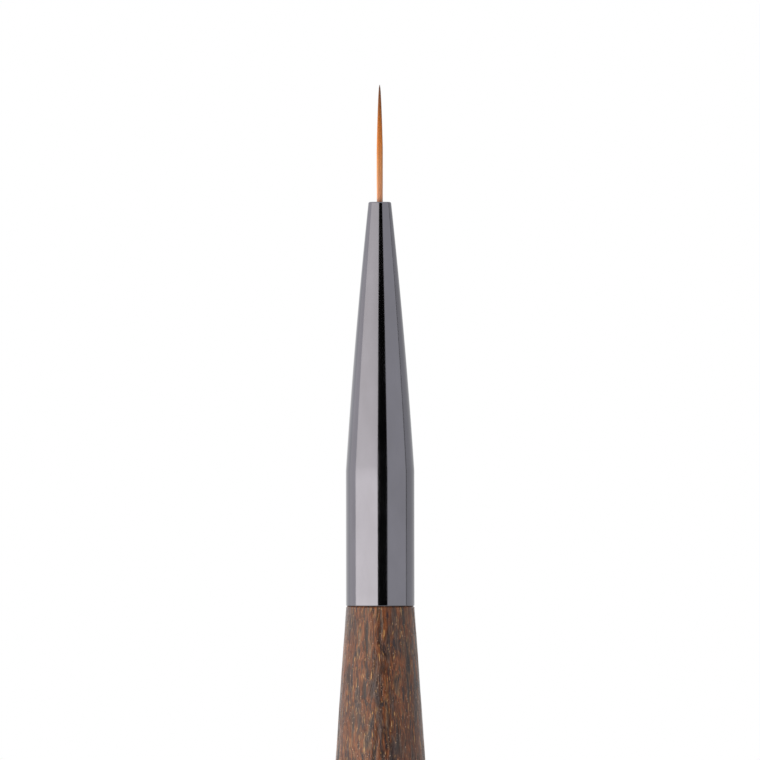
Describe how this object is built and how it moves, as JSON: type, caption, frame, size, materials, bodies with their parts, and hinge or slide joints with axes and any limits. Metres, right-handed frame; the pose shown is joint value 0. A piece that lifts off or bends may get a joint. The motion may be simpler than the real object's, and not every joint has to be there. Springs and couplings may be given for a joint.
{
  "type": "fine detail brush",
  "caption": "Slim round detail brush: a pointed tuft of tapered filaments in a seamless dark metal ferrule, on a turned wooden handle.",
  "frame": {"origin": "on the brush's axis, in the plane where the handle's shoulder meets the ferrule's lower rim", "axes": "+Z along the brush's axis towards the point of the hair; the brush is round about Z, with -Y taken as its front and +X to the right of it"},
  "size_m": [0.0098, 0.0098, 0.1769],
  "materials": {
    "wood": "stained dark brown open-pored hardwood under satin lacquer",
    "gunmetal": "brass tube plated in polished black nickel",
    "filament": "tapered synthetic filament, golden brown with darker points",
    "resin": "clear amber epoxy",
    "glue": "set adhesive film",
    "thread": "twisted waxed thread"
  },
  "bodies": {
    "root": {"handle": "wood", "handle_glue": "glue", "ferrule": "gunmetal", "resin_plug": "resin", "binding_thread": "thread", "tuft_root": "filament"},
    "heel": {"tuft_heel": "filament"},
    "lower_belly": {"tuft_lower_belly": "filament"},
    "belly": {"tuft_belly": "filament"},
    "upper_belly": {"tuft_upper_belly": "filament"},
    "point": {"tuft_point": "filament"}
  },
  "joints": [
    {"name": "hair_side_bend", "type": "hinge", "parent": "root", "child": "heel", "pos_m": [0, 0, 0.0366], "axis": [0, 1, 0], "range_deg": [-22, 22], "stiffness_Nm_per_rad": 0.0000075},
    {"name": "hair_front_bend", "type": "hinge", "parent": "heel", "child": "lower_belly", "pos_m": [0, 0, 0.03793], "axis": [1, 0, 0], "range_deg": [-33, 33], "stiffness_Nm_per_rad": 0.000007},
    {"name": "hair_side_bend_2", "type": "hinge", "parent": "lower_belly", "child": "belly", "pos_m": [0, 0, 0.03925], "axis": [0, 1, 0], "range_deg": [-22, 22], "stiffness_Nm_per_rad": 0.0000065},
    {"name": "hair_front_bend_2", "type": "hinge", "parent": "belly", "child": "upper_belly", "pos_m": [0, 0, 0.04057], "axis": [1, 0, 0], "range_deg": [-33, 33], "stiffness_Nm_per_rad": 0.000006},
    {"name": "hair_side_bend_3", "type": "hinge", "parent": "upper_belly", "child": "point", "pos_m": [0, 0, 0.0419], "axis": [0, 1, 0], "range_deg": [-22, 22], "stiffness_Nm_per_rad": 0.000005}
  ],
  "couplings": [
    {"joint": "hair_side_bend_2", "follows": "hair_side_bend", "ratio": 1},
    {"joint": "hair_front_bend_2", "follows": "hair_front_bend", "ratio": 1},
    {"joint": "hair_side_bend_3", "follows": "hair_side_bend", "ratio": 1}
  ]
}
